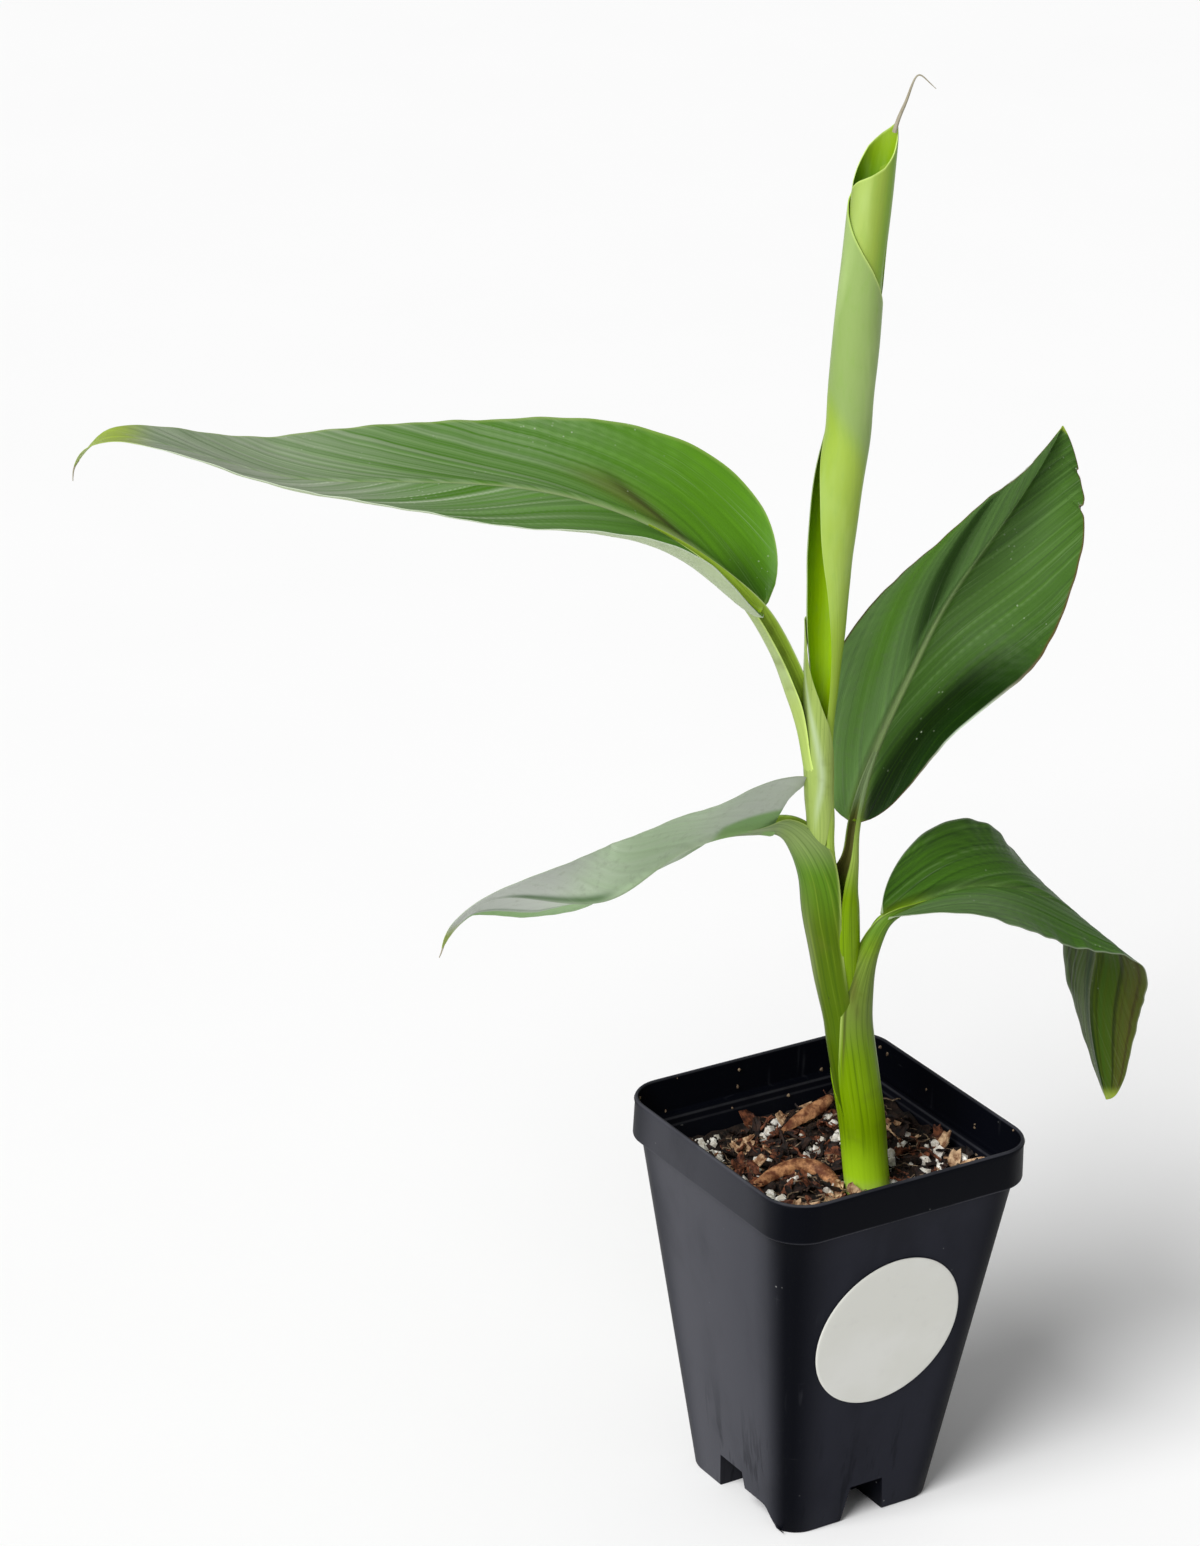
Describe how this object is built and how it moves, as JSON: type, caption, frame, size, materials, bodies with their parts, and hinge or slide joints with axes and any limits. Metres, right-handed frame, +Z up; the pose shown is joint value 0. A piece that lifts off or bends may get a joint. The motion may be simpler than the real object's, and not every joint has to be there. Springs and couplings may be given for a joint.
{
  "type": "young banana plant in a nursery pot",
  "caption": "Young green banana plant with open leaves and a furled new leaf, standing in a square black nursery pot with a blank round label.",
  "frame": {"origin": "centre of the pot's flat underside", "axes": "+Z up along the plant, X and Y along the sides of the square pot, -Y out of the side with the label"},
  "size_m": [0.3376, 0.1394, 0.4879],
  "materials": {
    "pot_plastic": "satin black injection moulded plastic",
    "potting_mix": "rough moist bark and peat mix",
    "label_paper": "off-white, blank",
    "stem_skin": "satin yellow-green skin",
    "leaf_skin": "satin green leaf",
    "new_leaf_skin": "satin pale green leaf"
  },
  "bodies": {
    "root": {"label": "label_paper", "leaf_1": "leaf_skin", "leaf_2": "leaf_skin", "leaf_3": "leaf_skin", "leaf_4": "leaf_skin", "leaf_4_tip": "leaf_skin", "leaf_stalk_1": "stem_skin", "leaf_stalk_2": "stem_skin", "leaf_stalk_3": "stem_skin", "leaf_stalk_4": "stem_skin", "pot": "pot_plastic", "pseudostem": "stem_skin", "rolled_leaf": "new_leaf_skin", "soil": "potting_mix"}
  },
  "joints": []
}
